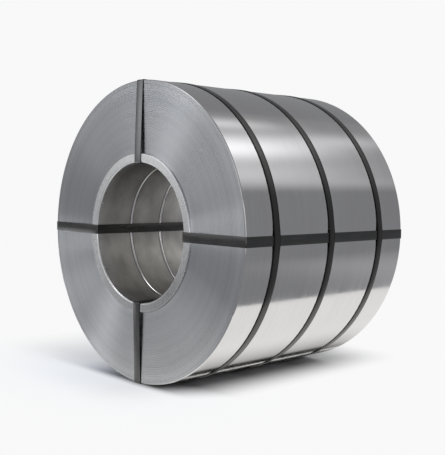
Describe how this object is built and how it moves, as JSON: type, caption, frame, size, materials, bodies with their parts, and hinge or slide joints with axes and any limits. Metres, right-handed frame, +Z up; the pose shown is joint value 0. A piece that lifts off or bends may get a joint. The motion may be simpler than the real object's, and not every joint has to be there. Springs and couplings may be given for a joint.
{
  "type": "steel coil",
  "caption": "Coil of steel strip lying on its side, on a metal core sleeve with proud end collars, bound with flat steel straps round the outside and through the eye",
  "frame": {"origin": "On the floor under the middle of the coil, which lies on its three outer straps where they cross the strap along its lowest line", "axes": "+Z up; Y is the coil's axis, and the end that the picture shows is at -Y; +X is the side that the picture shows"},
  "size_m": [1.1092, 0.8609, 1.1092],
  "materials": {
    "strip_steel": "cold-rolled strip, smooth on the outside, fine turn lines on the ends",
    "sleeve_steel": "bright galvanised sheet",
    "strap_steel": "dark painted steel strapping, semi-gloss",
    "seal_steel": "dark painted sheet, crimped, worn at the notches"
  },
  "bodies": {
    "root": {"coil": "strip_steel", "sleeve": "sleeve_steel", "hoop_strap_near": "strap_steel", "hoop_strap_middle": "strap_steel", "hoop_strap_far": "strap_steel", "eye_strap_top": "strap_steel", "eye_strap_right": "strap_steel", "eye_strap_bottom": "strap_steel", "eye_strap_left": "strap_steel", "hoop_seal_near": "seal_steel", "hoop_seal_middle": "seal_steel", "hoop_seal_far": "seal_steel", "eye_seal_top": "seal_steel", "eye_seal_right": "seal_steel", "eye_seal_bottom": "seal_steel", "eye_seal_left": "seal_steel"}
  },
  "joints": []
}
